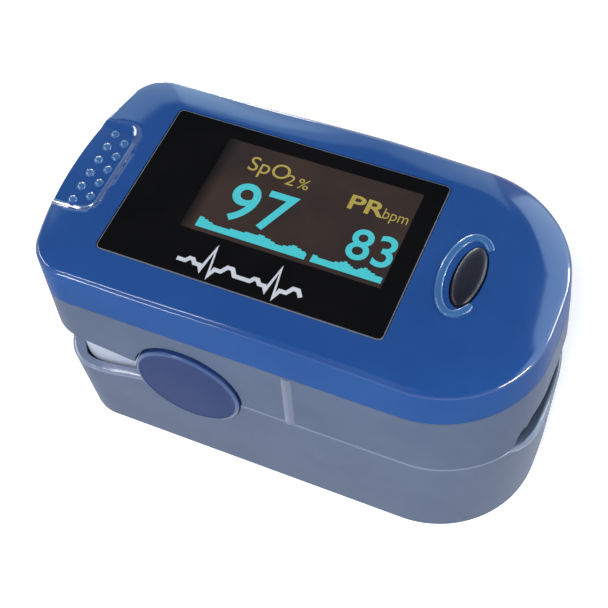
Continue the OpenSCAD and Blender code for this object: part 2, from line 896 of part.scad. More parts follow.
module frame_screws() {
    color(steel)
        for (p = frame_screw_places)
            translate([p[0], p[1], frame_screw_z + 0.02]) screw(1.3, 0.8, 0.7, 4.8);
}

contact_face = contact_t + 0.02;
front_cell_x = bay_x1 - contact_face - cell_l; // plain end of the front cell
rear_cell_x = bay_x0 + contact_face + cell_l; // plain end of the rear cell

// An AAA cell with its plain end at the origin, its raised terminal towards +X
module cell() {
    rotate([0, 90, 0])
        rotate_extrude()
            polygon([
                [0, 0], [cell_d / 2 - 0.4, 0], [cell_d / 2, 0.4], [cell_d / 2, cell_l - 1.5],
                [cell_d / 2 - 0.5, cell_l - 1], [1.9, cell_l - 1], [1.9, cell_l - 0.2],
                [1.7, cell_l], [0, cell_l]
            ]);
}

module cell_front() {
    color([0.2, 0.2, 0.2]) translate([front_cell_x, -cell_y, cell_z]) cell();
}

module cell_rear() {
    color([0.2, 0.2, 0.2]) translate([rear_cell_x, cell_y, cell_z]) mirror([1, 0, 0]) cell();
}

module contact(x, y, w) {
    translate([x, y - w / 2, cell_z - 4]) cube([contact_t, w, 8]);
}

module battery_contacts() {
    color(steel) {
        contact(bay_x1 - contact_t, -cell_y, 8);
        contact(bay_x1 - contact_t, cell_y, 8);
        contact(bay_x0, 0, 2 * cell_y + 8);
    }
}

coil_turns = 3;
function coil_path(x0, x1, y) = [
    for (i = [0:36])
        let (a = 360 * coil_turns * i / 36, r = 3.4 - 1.4 * i / 36)
        [x0 + (x1 - x0) * i / 36, y + r * cos(a), cell_z + r * sin(a)]
];

module battery_springs() {
    r = 0.25;
    color(steel) {
        wire(coil_path(bay_x0 + contact_face + r, front_cell_x - r - 0.02, -cell_y), r);
        wire(coil_path(bay_x1 - contact_face - r, rear_cell_x + r + 0.02, cell_y), r);
    }
}

module door_layer(half, z0, z1, inset) {
    intersection() {
        translate([-far, -half, z0]) cube([far + door_x1, 2 * half, z1 - z0]);
        translate([0, 0, z0 - 1]) linear_extrude(z1 - z0 + 2) polygon(lower_outline(z0, inset));
    }
}

module battery_door() {
    groove = 0.8;
    color(housing_grey)
        difference() {
            union() {
                door_layer(door_half, door_z, tongue_z + eps, 0.75);
                door_layer(door_half + door_tongue, tongue_z, door_top, 0.2);
            }
            for (i = [0:4])
                translate([-24 + 2 * groove * i, -6, door_z - 1]) cube([groove, 12, 1.35]);
        }
}

top_cover();
display_window();
oled_panel();
display_carrier();
main_board();
board_chips();
board_screws();
tact_switch();
switch_plunger();
power_button();
upper_housing();
upper_frame();
upper_finger_pad();
photodiode();
photodiode_window();
cover_screws();
flex_cable();
torsion_springs();
hinge_pins();
hinge_cap_front();
hinge_cap_rear();
lower_housing();
lower_frame();
lower_finger_pad();
led_emitter();
led_window();
frame_screws();
cell_front();
cell_rear();
battery_contacts();
battery_springs();
battery_door();
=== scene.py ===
"""Fingertip pulse oximeter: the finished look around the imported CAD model.

Lengths in the helpers are millimetres in the row frame; MM turns them into metres.
"""

import math

import bpy
from mathutils import Matrix, Vector


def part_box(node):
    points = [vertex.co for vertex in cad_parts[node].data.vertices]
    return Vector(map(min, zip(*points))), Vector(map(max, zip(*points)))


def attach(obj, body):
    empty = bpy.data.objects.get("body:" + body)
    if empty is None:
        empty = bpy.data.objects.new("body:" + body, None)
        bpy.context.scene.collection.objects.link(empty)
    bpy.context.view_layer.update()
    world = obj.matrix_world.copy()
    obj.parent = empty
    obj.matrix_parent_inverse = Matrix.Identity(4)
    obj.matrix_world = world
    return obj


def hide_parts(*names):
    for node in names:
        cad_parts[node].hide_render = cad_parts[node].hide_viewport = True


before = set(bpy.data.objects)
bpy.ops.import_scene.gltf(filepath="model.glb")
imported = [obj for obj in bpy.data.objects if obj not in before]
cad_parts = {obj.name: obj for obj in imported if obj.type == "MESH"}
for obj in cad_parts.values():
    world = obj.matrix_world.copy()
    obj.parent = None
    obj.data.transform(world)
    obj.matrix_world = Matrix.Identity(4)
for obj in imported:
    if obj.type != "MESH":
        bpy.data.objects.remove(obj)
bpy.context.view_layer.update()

MM = 0.001
scene = bpy.context.scene


# ---------------------------------------------------------------- sizes taken from the frame
def size_of(node):
    """Lowest and highest corner of a CAD node, in millimetres."""
    lo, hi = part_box(node)
    return lo / MM, hi / MM


upper_lo = size_of("upper_housing")[0]
lower_hi = size_of("lower_housing")[1]
window_lo, window_hi = size_of("display_window")
button_lo, button_hi = size_of("power_button")
cap_lo, cap_hi = size_of("hinge_cap_front")
door_hi = size_of("battery_door")[1]

X_GRIP = upper_lo.x
X_FINGER = lower_hi.x
HALF_W = lower_hi.y
Z_PART = 16.7  # parting line between the two halves
Z_COVER = 26.35  # seam between the blue cover and the grey housing
Z_TOP = 32.6  # flat top of the cover
WALL = 1.3
HINGE = Vector(((cap_lo.x + cap_hi.x) / 2, 0, (cap_lo.z + cap_hi.z) / 2))
CAP_R = (cap_hi.x - cap_lo.x) / 2
BUTTON_X = (button_lo.x + button_hi.x) / 2
WINDOW_X = (window_lo.x + window_hi.x) / 2
WINDOW_TOP = window_hi.z
FAR = 40  # a reach or height beyond the whole device, for the cutting tools
ACROSS = 20  # beyond either side of it


# ---------------------------------------------------------------- plan outlines
def arc(cx, cy, r, a0, a1, n):
    """Points along an arc, angles in degrees, the last one left out."""
    steps = [math.radians(a0 + (a1 - a0) * i / n) for i in range(n)]
    return [(cx + r * math.cos(a), cy + r * math.sin(a)) for a in steps]


def straight(p, q, n):
    """Points along a straight line, the last one left out."""
    return [(p[0] + (q[0] - p[0]) * i / n, p[1] + (q[1] - p[1]) * i / n) for i in range(n)]


BOW_GRIP = 45  # radius of the slight bow of each end
BOW_FINGER = 75


def outline(w, xl, xr, rl, rr):
    """Body outline: half width w, ends xl and xr, corner radii rl and rr, bowed ends."""
    al = math.degrees(math.asin((w - rl) / (BOW_GRIP - rl)))
    ar = math.degrees(math.asin((w - rr) / (BOW_FINGER - rr)))
    cl = xl + BOW_GRIP - (BOW_GRIP - rl) * math.cos(math.radians(al))
    cr = xr - BOW_FINGER + (BOW_FINGER - rr) * math.cos(math.radians(ar))
    return (
        straight((cl, -w), (cr, -w), 56)
        + arc(cr, -(w - rr), rr, -90, -ar, 44)
        + arc(xr - BOW_FINGER, 0, BOW_FINGER, -ar, ar, 12)
        + arc(cr, w - rr, rr, ar, 90, 44)
        + straight((cr, w), (cl, w), 56)
        + arc(cl, w - rl, rl, 90, 180 - al, 18)
        + arc(xl + BOW_GRIP, 0, BOW_GRIP, 180 - al, 180 + al, 36)
        + arc(cl, -(w - rl), rl, 180 + al, 270, 18)
    )


GRIP_R = 4.8  # corner radii in plan
FINGER_R = 12.5
LEAST_R = 0.8
UPPER_BACK = 0.6  # how far each half stands back from the CAD's grip end
LOWER_BACK = 0.45
UPPER_SIDE_DRAFT = 0.02  # lean of the walls, per millimetre away from the parting line
UPPER_FINGER_DRAFT = 0.065
LOWER_DRAFT = 0.05
LOWER_FINGER_DRAFT = 0.02


def set_in(half_w, x_grip, x_finger, d):
    """The body outline with the given half width and ends, set in by d."""
    grip_r = max(GRIP_R - d, LEAST_R)
    finger_r = max(FINGER_R - d, LEAST_R)
    return outline(half_w - d, x_grip + d, x_finger - d, grip_r, finger_r)


def upper_outline(z, d):
    """Outer surface of the upper half at height z, set in by d."""
    up = z - Z_PART
    x_finger = X_FINGER - UPPER_FINGER_DRAFT * up
    return set_in(HALF_W - UPPER_SIDE_DRAFT * up, X_GRIP + UPPER_BACK, x_finger, d)


def lower_outline(z, d):
    """Outer surface of the lower half at height z, set in by d."""
    down = Z_PART - z
    x_grip = X_GRIP + LOWER_BACK + LOWER_DRAFT * down
    return set_in(HALF_W - LOWER_DRAFT * down, x_grip, X_FINGER - LOWER_FINGER_DRAFT * down, d)


def rounded_rect(cx, cy, length, width, r, n=6):
    """Rectangle with corners of radius r, each in n steps."""
    points = []
    for sx, sy, turn in ((1, 1, 0), (-1, 1, 90), (-1, -1, 180), (1, -1, 270)):
        x = cx + sx * (length / 2 - r)
        y = cy + sy * (width / 2 - r)
        last = math.radians(turn + 90)
        points += arc(x, y, r, turn, turn + 90, n)
        points.append((x + r * math.cos(last), y + r * math.sin(last)))
    return points


def window_plan(grow, corner):
    """The window's outline, grown all round."""
    length, width = window_hi.x - window_lo.x, window_hi.y - window_lo.y
    return rounded_rect(WINDOW_X, 0, length + 2 * grow, width + 2 * grow, corner)


def ellipse(cx, cy, rx, ry, n=72):
    """Points round an ellipse."""
    steps = [2 * math.pi * i / n for i in range(n)]
    return [(cx + rx * math.cos(a), cy + ry * math.sin(a)) for a in steps]


def at(points, z):
    """Plan points lifted to height z."""
    return [(p[0], p[1], z) for p in points]


def ease(t):
    """Smooth step from 0 to 1 as t goes from 0 to 1."""
    t = min(1.0, max(0.0, t))
    return t * t * (3 - 2 * t)


def along(stops, x):
    """Straight-line interpolation through (x, value) stops in rising order of x."""
    if x <= stops[0][0]:
        return stops[0][1]
    for (x0, v0), (x1, v1) in zip(stops, stops[1:]):
        if x < x1:
            return v0 + (v1 - v0) * (x - x0) / (x1 - x0)
    return stops[-1][1]


def bend(p, q, s, reach, n=4):
    """Points that round the corner q between p and s, starting reach away from it."""
    start = q + (p - q).normalized() * reach
    end = q + (s - q).normalized() * reach
    return [start.lerp(q, k / n).lerp(q.lerp(end, k / n), k / n) for k in range(n + 1)]


# ---------------------------------------------------------------- mesh building
def new_object(name, shape, material=None):
    """An object made from a (verts, faces) shape in millimetres."""
    verts, faces = shape
    mesh = bpy.data.meshes.new(name)
    mesh.from_pydata([Vector(v) * MM for v in verts], [], faces)
    mesh.validate()
    obj = bpy.data.objects.new(name, mesh)
    scene.collection.objects.link(obj)
    if material is not None:
        mesh.materials.append(material)
    return obj


def skin(rings, loop=False):
    """A (verts, faces) shape through rings of equal count, with its ends closed or joined up."""
    n, m = len(rings[0]), len(rings)
    verts = [p for ring in rings for p in ring]
    faces = []
    for i in range(m if loop else m - 1):
        j = (i + 1) % m
        for k in range(n):
            after = (k + 1) % n
            faces.append((i * n + k, i * n + after, j * n + after, j * n + k))
    if not loop:
        faces.append(tuple(range(n - 1, -1, -1)))
        faces.append(tuple((m - 1) * n + k for k in range(n)))
    return verts, faces


def prism(points, z0, z1):
    """The shape between heights z0 and z1 over a plan outline."""
    return skin([at(points, z0), at(points, z1)])


def merge(*shapes):
    """Joins several (verts, faces) shapes into one."""
    verts, faces = [], []
    for v, f in shapes:
        base = len(verts)
        verts += list(v)
        faces += [tuple(base + i for i in face) for face in f]
    return verts, faces


def apply_modifiers(obj):
    """Bakes the object's modifiers into its mesh."""
    graph = bpy.context.evaluated_depsgraph_get()
    mesh = bpy.data.meshes.new_from_object(obj.evaluated_get(graph), depsgraph=graph)
    old = obj.data
    obj.modifiers.clear()
    obj.data = mesh
    bpy.data.meshes.remove(old)


def cut(obj, shape):
    """Cuts a (verts, faces) shape out of obj."""
    tool = new_object("tool", shape)
    mod = obj.modifiers.new("boolean", "BOOLEAN")
    mod.object = tool
    mod.operation = "DIFFERENCE"
    mod.solver = "EXACT"
    bpy.context.view_layer.update()
    apply_modifiers(obj)
    bpy.data.objects.remove(tool)


def soften(obj, width, angle):
    """Rounds the edges sharper than angle."""
    mod = obj.modifiers.new("bevel", "BEVEL")
    mod.width = width * MM
    mod.segments = 2
    mod.limit_method = "ANGLE"
    mod.angle_limit = math.radians(angle)
    mod.harden_normals = False
    mod.use_clamp_overlap = True
    apply_modifiers(obj)


def finish_shading(obj, angle):
    """Smooth shading that stays crisp at edges sharper than angle."""
    for p in obj.data.polygons:
        p.use_smooth = True
    obj.data.set_sharp_from_angle(angle=math.radians(angle))
    mod = obj.modifiers.new("normals", "WEIGHTED_NORMAL")
    mod.keep_sharp = True
    mod.weight = 60


def paint(obj, material, chosen):
    """Gives a second material to the faces that chosen(centre in mm, normal) picks."""
    obj.data.materials.append(material)
    for p in obj.data.polygons:
        if chosen(p.center / MM, p.normal):
            p.material_index = 1


def place(obj, body, slot, *nodes):
    """Puts a piece on its body and in place of the CAD nodes it stands for; slot is not used."""
    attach(obj, body)
    if nodes:
        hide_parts(*nodes)


# ---------------------------------------------------------------- material helpers
def nodes_of(name):
    """A new material with its node tree, shader and texture coordinates."""
    material = bpy.data.materials.new(name)
    material.use_nodes = True
    tree = material.node_tree
    shader = tree.nodes["Principled BSDF"]
    coords = tree.nodes.new("ShaderNodeTexCoord")
    return material, tree, shader, coords


def noise(tree, coords, scale, detail=3.0, rough=0.5):
    """Noise whose grain is 1/scale metres."""
    node = tree.nodes.new("ShaderNodeTexNoise")
    node.inputs["Scale"].default_value = scale
    node.inputs["Detail"].default_value = detail
    node.inputs["Roughness"].default_value = rough
    tree.links.new(coords.outputs["Object"], node.inputs["Vector"])
    return node


def spread(tree, value, low, high, at_low=0.35, at_high=0.65):
    """Maps a 0..1 texture value to low..high."""
    node = tree.nodes.new("ShaderNodeMapRange")
    node.inputs["From Min"].default_value = at_low
    node.inputs["From Max"].default_value = at_high
    node.inputs["To Min"].default_value = low
    node.inputs["To Max"].default_value = high
    tree.links.new(value, node.inputs["Value"])
    return node.outputs["Result"]


def two_tone(tree, value, a, b, low=0.35, high=0.65):
    """Colour that goes from a to b as the texture value goes from low to high."""
    ramp = tree.nodes.new("ShaderNodeValToRGB")
    ramp.color_ramp.elements[0].position = low
    ramp.color_ramp.elements[0].color = (*a, 1)
    ramp.color_ramp.elements[1].position = high
    ramp.color_ramp.elements[1].color = (*b, 1)
    tree.links.new(value, ramp.inputs["Fac"])
    return ramp.outputs["Color"]


def bump(tree, target, height, strength, distance):
    """Relief of the given depth in millimetres, fed to a shader or to another bump."""
    node = tree.nodes.new("ShaderNodeBump")
    node.inputs["Strength"].default_value = strength
    node.inputs["Distance"].default_value = distance * MM
    tree.links.new(height, node.inputs["Height"])
    tree.links.new(node.outputs["Normal"], target.inputs["Normal"])
    return node


def moulded(name, colour, other, rough, grain, grain_depth, ripple=0.0, specular=0.5, coat=0.0):
    """Injection-moulded plastic: faint mottling, fine tool texture, and a slow ripple."""
    material, tree, shader, coords = nodes_of(name)
    mottle = noise(tree, coords, 160, 4.0, 0.6)
    colour_out = two_tone(tree, mottle.outputs["Fac"], colour, other)
    tree.links.new(colour_out, shader.inputs["Base Color"])
    fine = noise(tree, coords, grain, 2.0)
    tree.links.new(spread(tree, fine.outputs["Fac"], rough[0], rough[1]), shader.inputs["Roughness"])
    shader.inputs["Coat Weight"].default_value = coat
    shader.inputs["Coat Roughness"].default_value = 0.1
    shader.inputs["IOR"].default_value = 1.5
    shader.inputs["Specular IOR Level"].default_value = specular
    texture = bump(tree, shader, fine.outputs["Fac"], 0.6, grain_depth)
    if ripple:
        slow = noise(tree, coords, 220, 1.0)
        bump(tree, texture, slow.outputs["Fac"], 0.5, ripple)
    return material


# ---------------------------------------------------------------- plastics
def cover_material():
    return moulded("blue_gloss", (0.0150, 0.064, 0.240), (0.0175, 0.071, 0.256), (0.09, 0.13),
                   grain=2600, grain_depth=0.002, ripple=0.01)


# Copy of the cover blue for the cover's side faces: its lighter base is painted reflection haze, and its
# gloss is taken away to darken the sides as painted shade.
def side_painted_haze_material():
    return moulded("blue_side_painted_haze", (0.0165, 0.069, 0.240), (0.0190, 0.075, 0.256), (0.3, 0.4),
                   grain=5200, grain_depth=0.005, ripple=0.01, specular=0.02)


# A lighter copy of the cover blue for the grip dots and the ridge round the button; its lightness is a
# painted sheen.
def rim_sheen_material():
    return moulded("blue_rim_painted_sheen", (0.038, 0.120, 0.30), (0.043, 0.132, 0.33), (0.14, 0.2),
                   grain=2600, grain_depth=0.002)


def cap_material():
    return moulded("blue_cap", (0.0122, 0.0295, 0.112), (0.0145, 0.034, 0.122), (0.3, 0.38),
                   grain=5200, grain_depth=0.006, specular=0.05)


# Lighter, glossier copy of the cap blue for the faces of its rounded rim: a painted highlight.
def cap_rim_highlight_material():
    return moulded("blue_cap_rim_painted_highlight", (0.030, 0.070, 0.19), (0.034, 0.078, 0.21), (0.2, 0.26),
                   grain=4000, grain_depth=0.002, specular=0.35)


def frame_material():
    return moulded("frame_grey", (0.050, 0.064, 0.098), (0.056, 0.071, 0.107), (0.4, 0.5),
                   grain=6000, grain_depth=0.006, specular=0.3)


# A lighter, glossier copy of the housing grey for the side ribs: a painted highlight.
def rib_highlight_material():
    return moulded("grey_rib_painted_highlight", (0.118, 0.148, 0.228), (0.128, 0.160, 0.242), (0.28, 0.36),
                   grain=6000, grain_depth=0.006, specular=0.25)


def housing_material():
    return moulded("grey_satin", (0.086, 0.113, 0.181), (0.095, 0.124, 0.195), (0.34, 0.44),
                   grain=6000, grain_depth=0.008, ripple=0.012, specular=0.03)


# A lighter, glossier copy of the housing grey for the upward faces of the rim: a painted highlight.
def rolled_edge_highlight_material():
    return moulded("grey_edge_painted_highlight", (0.145, 0.182, 0.28), (0.16, 0.198, 0.30), (0.18, 0.25),
                   grain=6000, grain_depth=0.006)


# Pale grey for the skirt of the upper frame, lifted to offset the shade it sits in under the overhang:
# painted light.
def skirt_painted_light_material():
    return moulded("grey_pale_painted_light", (0.375, 0.425, 0.53), (0.40, 0.45, 0.555), (0.4, 0.5),
                   grain=6000, grain_depth=0.006)


def button_material():
    return moulded("button_grey", (0.009, 0.009, 0.018), (0.014, 0.013, 0.024), (0.3, 0.4),
                   grain=4200, grain_depth=0.02, specular=0.2)


def silicone_material():
    return moulded("silicone", (0.018, 0.019, 0.024), (0.024, 0.025, 0.031), (0.5, 0.62),
                   grain=7000, grain_depth=0.01)


def black_gloss_material():
    return moulded("black_gloss", (0.004, 0.0042, 0.005), (0.0055, 0.0055, 0.0065), (0.03, 0.05),
                   grain=1500, grain_depth=0.0004, specular=0.1)


def window_edge_highlight_material():
    """Light grey on the window's bevel and sides: a painted highlight for the light its edge catches."""
    return moulded("clear_edge_painted_highlight", (0.14, 0.15, 0.18), (0.18, 0.19, 0.22), (0.1, 0.16),
                   grain=2600, grain_depth=0.002)


def print_material():
    return moulded("silver_print", (0.48, 0.50, 0.56), (0.54, 0.56, 0.62), (0.35, 0.45),
                   grain=4000, grain_depth=0.002)


def chip_material():
    return moulded("chip_black", (0.012, 0.012, 0.014), (0.018, 0.018, 0.02), (0.45, 0.6),
                   grain=6000, grain_depth=0.01)


def ivory_material():
    return moulded("ivory", (0.60, 0.56, 0.46), (0.66, 0.62, 0.52), (0.35, 0.45),
                   grain=4000, grain_depth=0.004)


def sensor_material():
    return moulded("sensor_resin", (0.16, 0.012, 0.010), (0.20, 0.016, 0.012), (0.08, 0.14),
                   grain=1500, grain_depth=0.001, coat=0.6)


def flex_material():
    return moulded("flex_amber", (0.36, 0.15, 0.015), (0.42, 0.18, 0.02), (0.25, 0.35),
                   grain=2500, grain_depth=0.003, coat=0.3)


# ---------------------------------------------------------------- display, metal and board materials
SCREEN_FADE = (-13.3 * MM, -11.6 * MM)  # where the screen fades in, along X


def screen_glow_material():
    """The dark display area with a faint, uneven brownish glow: painted light for the light that reaches
    it through the glass.
    """
    material, tree, shader, coords = nodes_of("screen_ground_painted_glow")
    cloud = noise(tree, coords, 130, 3.0)
    tint = two_tone(tree, cloud.outputs["Fac"], (0.024, 0.018, 0.018), (0.036, 0.024, 0.020), 0.3, 0.7)
    split = tree.nodes.new("ShaderNodeSeparateXYZ")
    tree.links.new(coords.outputs["Object"], split.inputs["Vector"])
    fade = spread(tree, split.outputs["X"], 0.0, 1.0, *SCREEN_FADE)
    mix = tree.nodes.new("ShaderNodeMix")
    mix.data_type = "RGBA"
    mix.inputs["A"].default_value = (0.005, 0.005, 0.006, 1)
    tree.links.new(fade, mix.inputs["Factor"])
    tree.links.new(tint, mix.inputs["B"])
    colour = mix.outputs["Result"]
    tree.links.new(colour, shader.inputs["Base Color"])
    tree.links.new(colour, shader.inputs["Emission Color"])
    # This faint emission is painted light, not lit pixels.
    shader.inputs["Emission Strength"].default_value = 0.35
    shader.inputs["Roughness"].default_value = 0.06
    shader.inputs["Specular IOR Level"].default_value = 0.25
    return material


def lit_material(name, colour, strength):
    """Lit display pixels: a fine grain modulates the glow."""
    material, tree, shader, coords = nodes_of(name)
    grid = noise(tree, coords, 5800, 1.0)
    dim = tuple(c * 0.82 for c in colour)
    glow = two_tone(tree, grid.outputs["Fac"], dim, colour, 0.3, 0.6)
    tree.links.new(glow, shader.inputs["Emission Color"])
    shader.inputs["Base Color"].default_value = (*[c * 0.3 for c in colour], 1)
    shader.inputs["Emission Strength"].default_value = strength
    shader.inputs["Roughness"].default_value = 0.2
    return material


def metal_material(name, colour, rough, scratch=900):
    """Metal with fine drawn lines."""
    material, tree, shader, coords = nodes_of(name)
    stretch = tree.nodes.new("ShaderNodeMapping")
    stretch.inputs["Scale"].default_value = (1, 9, 1)
    tree.links.new(coords.outputs["Object"], stretch.inputs["Vector"])
    lines = tree.nodes.new("ShaderNodeTexNoise")
    lines.inputs["Scale"].default_value = scratch
    lines.inputs["Detail"].default_value = 4
    tree.links.new(stretch.outputs["Vector"], lines.inputs["Vector"])
    grain = lines.outputs["Fac"]
    dull = tuple(c * 0.85 for c in colour)
    shader.inputs["Metallic"].default_value = 1
    tree.links.new(two_tone(tree, grain, dull, colour), shader.inputs["Base Color"])
    tree.links.new(spread(tree, grain, rough * 0.8, rough * 1.3), shader.inputs["Roughness"])
    bump(tree, shader, grain, 0.4, 0.01)
    return material


def board_material():
    """Green solder mask over copper tracks."""
    material, tree, shader, coords = nodes_of("board_green")
    tracks = tree.nodes.new("ShaderNodeTexVoronoi")
    tracks.distance = "MANHATTAN"
    tracks.inputs["Scale"].default_value = 420
    tree.links.new(coords.outputs["Object"], tracks.inputs["Vector"])
    distance = tracks.outputs["Distance"]
    green = two_tone(tree, distance, (0.012, 0.13, 0.045), (0.02, 0.20, 0.07), 0.4, 0.45)
    tree.links.new(green, shader.inputs["Base Color"])
    shader.inputs["Roughness"].default_value = 0.35
    shader.inputs["Coat Weight"].default_value = 0.4
    bump(tree, shader, distance, 0.3, 0.03)
    return material


BLUE = cover_material()
BLUE_SIDE_PAINTED_HAZE = side_painted_haze_material()
RIM_PAINTED_SHEEN = rim_sheen_material()
CAP = cap_material()
CAP_RIM_PAINTED_HIGHLIGHT = cap_rim_highlight_material()
FRAME_GREY = frame_material()
GREY = housing_material()
GREY_EDGE_PAINTED_HIGHLIGHT = rolled_edge_highlight_material()
GREY_RIB_PAINTED_HIGHLIGHT = rib_highlight_material()
SKIRT_PAINTED_LIGHT = skirt_painted_light_material()
KEY = button_material()
SILICONE = silicone_material()
BLACK = black_gloss_material()
WINDOW_EDGE_HIGHLIGHT = window_edge_highlight_material()
SCREEN_PAINTED_GLOW = screen_glow_material()
CYAN = lit_material("lit_cyan", (0.055, 0.43, 0.48), 1.0)
YELLOW = lit_material("lit_yellow", (0.38, 0.30, 0.07), 0.8)
STEEL = metal_material("steel", (0.62, 0.62, 0.63), 0.28)
FOIL = metal_material("cell_foil", (0.42, 0.43, 0.46), 0.35, 500)
SILVER = print_material()
BOARD = board_material()
CHIP = chip_material()
IVORY = ivory_material()
SENSOR = sensor_material()
AMBER = flex_material()


# ---------------------------------------------------------------- top cover
EDGE_Z = 32.1  # highest point of the cover's side edge
EDGE_X = 3.0  # where along the cover that point lies
EDGE_FALL_GRIP = 0.45  # how far the edge falls to each end
EDGE_FALL_FINGER = 1.45
BAND_RISE = 0.38  # rise of the chamfered band inside that edge
BAND_SOFT = 0.17  # reach of the rounding at the band's inner edge
CEILING = 31.3  # underside of the flat
FLAT = (10.85, -21.9, 21.3, 1, 6.5)  # the flat's half width, ends and corner radii
CROWN_STEPS = (0.0, 0.14, 0.28, 0.43, 0.57, 0.72, 0.86, 1.0)
SEAM_CHAMFER = 0.1


def edge_z(x):
    """Height of the side edge: it falls a little to the grip end, more to the finger end."""
    if x < EDGE_X:
        return EDGE_Z - EDGE_FALL_GRIP * ease((EDGE_X - x) / 18)
    return EDGE_Z - EDGE_FALL_FINGER * ((x - EDGE_X) / 25.4) ** 1.6


def band_width(x):
    """Width of the band, which grows towards the finger end."""
    return 0.36 + 0.26 * ease((x + 22) / 27)


def edge_soft(x):
    """Reach of the rounding between side wall and band."""
    return 0.15 + 0.17 * ease((x - 5) / 15)


def crown(start, end):
    """Points that rise from the band and level out towards the flat."""
    points = []
    for t in CROWN_STEPS:
        p = start.lerp(end, t)
        p.z = Z_TOP - (Z_TOP - start.z) * (1 - t) ** 2
        points.append(p)
    return points


def cover_shell():
    """The crowned cover: side wall, a chamfered band along its edge, then a rise to the flat."""
    edge = upper_outline(EDGE_Z, 0)
    inner = upper_outline(EDGE_Z, 1)
    flat = outline(*FLAT)
    ceiling = upper_outline(EDGE_Z, WALL)
    under = upper_outline(Z_COVER, WALL)
    seam_in = upper_outline(Z_COVER, SEAM_CHAMFER)
    seam = upper_outline(Z_COVER, 0)
    profiles = []
    for i, (x, y) in enumerate(edge):
        z = edge_z(x)
        corner = Vector((x, y, z))
        band = corner.lerp(Vector((*inner[i], z)), band_width(x))
        band.z = z + BAND_RISE
        rise = crown(band, Vector((*flat[i], Z_TOP)))
        foot = Vector((*seam[i], Z_COVER + SEAM_CHAMFER))
        profile = [(*flat[i], CEILING), (*ceiling[i], z - 0.9)]
        profile += [(*under[i], Z_COVER), (*seam_in[i], Z_COVER)]
        profile += [foot] + bend(foot, corner, band, edge_soft(x))
        profile += bend(corner, band, rise[1], BAND_SOFT) + rise[1:]
        profiles.append(profile)
    return skin(list(zip(*profiles)))


SCOOP_X = -22.7  # inner end of the thumb scoop
SCOOP_HALF = 6.9
SCOOP_DEPTH = 0.78
SCOOP_TILT = math.radians(4)
SCOOP_REACH = 20  # runs out past the grip end
SCOOP_R = 2.6
SCOOP_WALL = [(1.3, 0.0), (1.05, 0.05), (0.8, 0.15), (0.55, 0.27), (0.35, 0.39), (0.2, 0.5), (0.1, 0.62),
              (0.0, 0.8), (-0.4, 3.0)]  # inset and rise


def scoop_floor(x):
    """Height of the scoop's tilted floor."""
    return Z_TOP - SCOOP_DEPTH - (SCOOP_X - x) * math.tan(SCOOP_TILT)


def scoop_tool():
    """A dished thumb rest: a tilted floor whose walls rise in a small fillet, then lean out."""
    centre = SCOOP_X - SCOOP_REACH / 2
    rings = []
    for inset, rise in SCOOP_WALL:
        width = 2 * (SCOOP_HALF - inset)
        plan = rounded_rect(centre, 0, SCOOP_REACH - 2 * inset, width, SCOOP_R - inset, 12)
        rings.append([(x, y, scoop_floor(x) + rise) for x, y in plan])
    return skin(rings)


DOT_R = 0.56
DOT_H = 0.34
DOT_PROFILE = ((0.93, 0.42), (0.78, 0.72), (0.5, 0.93), (0.22, 1.0))  # shares of radius and height
DOT_PITCH = 2.06
DOT_COLUMNS = ((-26.46, 6), (-24.7, 5))  # place along the body, number of dots


def dome(x, y):
    """A grip dot: a low dome with a soft foot."""
    base = scoop_floor(x) - 0.03
    profile = [(1.12, -0.02), (1.0, 0.03)]
    profile += [(share, DOT_H * up) for share, up in DOT_PROFILE]
    return skin([at(ellipse(x, y, DOT_R * share, DOT_R * share, 20), base + up) for share, up in profile])


def grip_dots():
    """Two staggered columns of dots in the scoop."""
    places = [(x, (k - (count - 1) / 2) * DOT_PITCH) for x, count in DOT_COLUMNS for k in range(count)]
    return merge(*[dome(x, y) for x, y in places])


RIDGE_X = 18.1
RIDGE_RX = 2.38
RIDGE_RY = 5.1
RIDGE_HALF = 0.46  # half its width
RIDGE_START = math.radians(48)
RIDGE_END = math.radians(318)
RIDGE_STEPS = 84
RIDGE_SECTION = [(-1.0, -0.1), (-0.96, 0.16), (-0.8, 0.27), (-0.5, 0.33), (0.0, 0.34), (0.5, 0.33),
                 (0.8, 0.27), (0.96, 0.16), (1.0, -0.1)]  # share of the half width, height


def button_ridge():
    """The raised C round the button: a rounded ridge along an open ellipse, with tapered ends."""
    rings = []
    for i in range(RIDGE_STEPS + 1):
        a = RIDGE_START + (RIDGE_END - RIDGE_START) * i / RIDGE_STEPS
        centre = Vector((RIDGE_X + RIDGE_RX * math.cos(a), RIDGE_RY * math.sin(a), 0))
        out = Vector((RIDGE_RY * math.cos(a), RIDGE_RX * math.sin(a), 0)).normalized()
        end = min(i, RIDGE_STEPS - i) / 3
        taper = 1.0 if end >= 1 else 0.55 + 0.45 * math.sqrt(max(0.0, 1 - (1 - end) ** 2))
        ring = []
        for share, up in reversed(RIDGE_SECTION):
            lift = Vector((0, 0, Z_TOP + up * (0.7 + 0.3 * taper)))
            ring.append(tuple(centre + out * (share * RIDGE_HALF * taper) + lift))
        rings.append(ring)
    return skin(rings)


WINDOW_GAP = 0.07
WINDOW_R = 0.65
WINDOW_SEAT_R = 0.72
WINDOW_LEDGE = 1.0  # width of the ledge that the window lies on
BUTTON_RX = 1.55
BUTTON_RY = 4.0
BUTTON_GAP = 0.16
CUT_Z = 29  # foot of the openings' tools, below the ceiling


